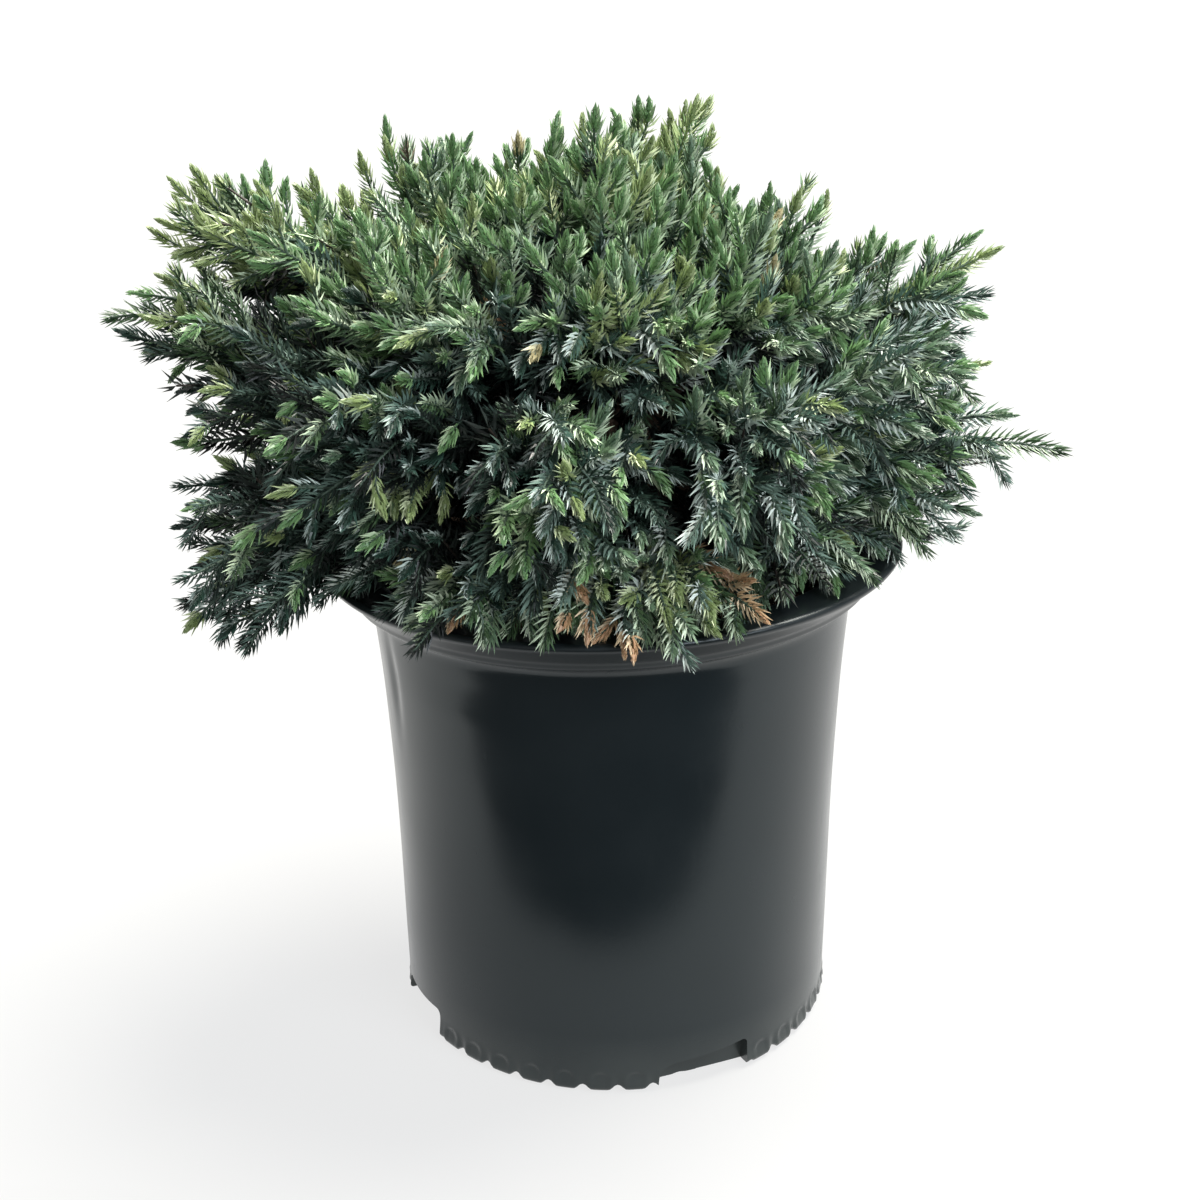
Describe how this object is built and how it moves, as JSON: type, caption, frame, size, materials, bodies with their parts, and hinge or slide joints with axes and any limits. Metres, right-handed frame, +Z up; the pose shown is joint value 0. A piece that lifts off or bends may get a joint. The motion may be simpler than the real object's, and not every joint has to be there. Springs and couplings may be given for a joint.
{
  "type": "blue star juniper in a nursery can",
  "caption": "Low mounded evergreen shrub with short blue-green awl needles, standing in its black plastic nursery can.",
  "frame": {"origin": "centre of the can's flat underside", "axes": "+Z up along the can's axis, -Y towards the side that faces the viewer, +X to that viewer's right"},
  "size_m": [0.3781, 0.2911, 0.3844],
  "materials": {
    "can_plastic": "blow-moulded black polyethylene, satin gloss",
    "growing_mix": "damp composted bark, rough",
    "bark": "thin flaking red-brown bark",
    "needles": "waxy blue-green awl needles with pale bands, fresh green at the tips"
  },
  "bodies": {
    "root": {"pot": "can_plastic", "soil": "growing_mix", "trunk": "bark", "bough_crown_front": "bark", "bough_crown_left": "bark", "bough_crown_right": "bark", "bough_shoulder_back_left": "bark", "bough_shoulder_back_right": "bark", "bough_shoulder_front_left": "bark", "bough_shoulder_front_right": "bark", "bough_shoulder_left": "bark", "bough_shoulder_left_front": "bark", "bough_shoulder_right": "bark", "bough_shoulder_right_back": "bark", "bough_shoulder_right_front": "bark", "bough_skirt_back_left": "bark", "bough_skirt_back_right": "bark", "bough_skirt_front": "bark", "bough_skirt_left": "bark", "bough_skirt_left_back": "bark", "bough_skirt_left_front": "bark", "bough_skirt_right": "bark", "bough_skirt_right_back": "bark", "bough_skirt_right_front": "bark", "bough_upper_back": "bark", "bough_upper_front": "bark", "bough_upper_left": "bark", "bough_upper_left_front": "bark", "bough_upper_right": "bark", "bough_upper_right_front": "bark", "foliage_crown_front": "needles", "foliage_crown_left": "needles", "foliage_crown_right": "needles", "foliage_shoulder_back_left": "needles", "foliage_shoulder_back_right": "needles", "foliage_shoulder_front_left": "needles", "foliage_shoulder_front_right": "needles", "foliage_shoulder_left": "needles", "foliage_shoulder_left_front": "needles", "foliage_shoulder_right": "needles", "foliage_shoulder_right_back": "needles", "foliage_shoulder_right_front": "needles", "foliage_skirt_back_left": "needles", "foliage_skirt_back_right": "needles", "foliage_skirt_front": "needles", "foliage_skirt_left": "needles", "foliage_skirt_left_back": "needles", "foliage_skirt_left_front": "needles", "foliage_skirt_right": "needles", "foliage_skirt_right_back": "needles", "foliage_skirt_right_front": "needles", "foliage_upper_back": "needles", "foliage_upper_front": "needles", "foliage_upper_left": "needles", "foliage_upper_left_front": "needles", "foliage_upper_right": "needles", "foliage_upper_right_front": "needles"}
  },
  "joints": []
}
